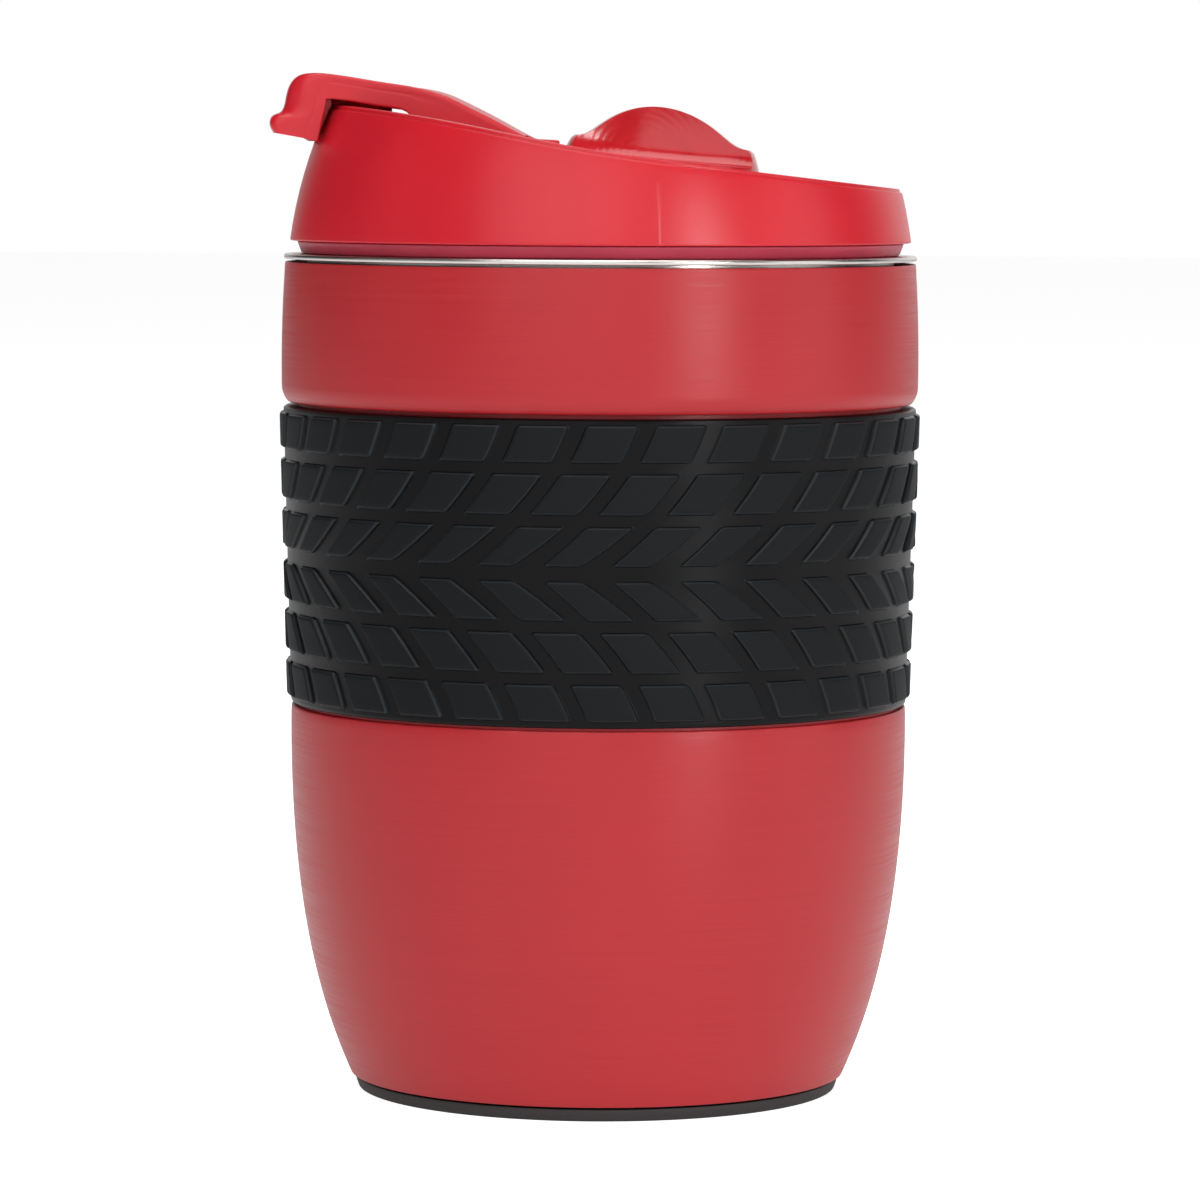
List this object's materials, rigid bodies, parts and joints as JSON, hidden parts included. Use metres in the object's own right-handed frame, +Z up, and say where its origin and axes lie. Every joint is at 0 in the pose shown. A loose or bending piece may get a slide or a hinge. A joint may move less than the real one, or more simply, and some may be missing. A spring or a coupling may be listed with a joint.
{
  "type": "insulated travel mug with tread grip",
  "caption": "Double-walled steel travel mug with a tyre-tread silicone grip sleeve, a press-in lid, a hinged drinking flap and a turning vent knob.",
  "frame": {"origin": "centre of the foot's flat underside, on the mug's axis", "axes": "+Z up along the mug's axis; the drinking flap points towards -X and the low side of the lid's rim towards +X"},
  "size_m": [0.0774, 0.0764, 0.121],
  "materials": {
    "outer_shell": "satin red paint on stainless steel",
    "inner_liner": "bare stainless steel, polished lip",
    "base_plate": "bare pressed steel",
    "vacuum_seal_bead": "dark sealing glass",
    "getter_capsule": "plain pressed capsule",
    "base_foot": "matte dark grey",
    "foot_adhesive_ring": "black foam tape",
    "grip_sleeve": "black silicone, matte blocks and smoother grooves",
    "lid_shell": "semi-gloss red moulding",
    "lid_plug": "black moulding",
    "lid_gasket": "translucent mauve silicone",
    "hinge_pin": "drawn steel",
    "shutter_seal": "translucent mauve silicone",
    "drinking_flap": "semi-gloss red moulding",
    "flap_stopper": "black silicone",
    "vent_knob": "high-gloss red moulding",
    "vent_shutter": "black moulding",
    "knob_o_ring": "black rubber",
    "knob_washer": "plain steel",
    "knob_screw": "plain steel"
  },
  "bodies": {
    "cup": {"outer_shell": "outer_shell", "inner_liner": "inner_liner", "base_plate": "base_plate", "vacuum_seal_bead": "vacuum_seal_bead", "getter_capsule": "getter_capsule", "base_foot": "base_foot", "foot_adhesive_ring": "foot_adhesive_ring", "grip_sleeve": "grip_sleeve"},
    "lid": {"lid_shell": "lid_shell", "lid_plug": "lid_plug", "lid_gasket": "lid_gasket", "hinge_pin": "hinge_pin", "shutter_seal": "shutter_seal"},
    "flap": {"drinking_flap": "drinking_flap", "flap_stopper": "flap_stopper"},
    "knob": {"vent_knob": "vent_knob", "vent_shutter": "vent_shutter", "knob_o_ring": "knob_o_ring", "knob_washer": "knob_washer", "knob_screw": "knob_screw"}
  },
  "joints": [
    {"name": "lid_lift", "type": "slide", "parent": "cup", "child": "lid", "axis": [0, 0, 1], "range_m": [0, 0.06]},
    {"name": "flap_hinge", "type": "hinge", "parent": "lid", "child": "flap", "pos_m": [-0.008, 0, 0.1118], "axis": [0, 1, 0], "range_deg": [0, 60]},
    {"name": "vent_knob_turn", "type": "hinge", "parent": "lid", "child": "knob", "pos_m": [0.007, 0, 0.109], "axis": [0.0872, 0, 0.9962], "range_deg": [0, 90]}
  ]
}
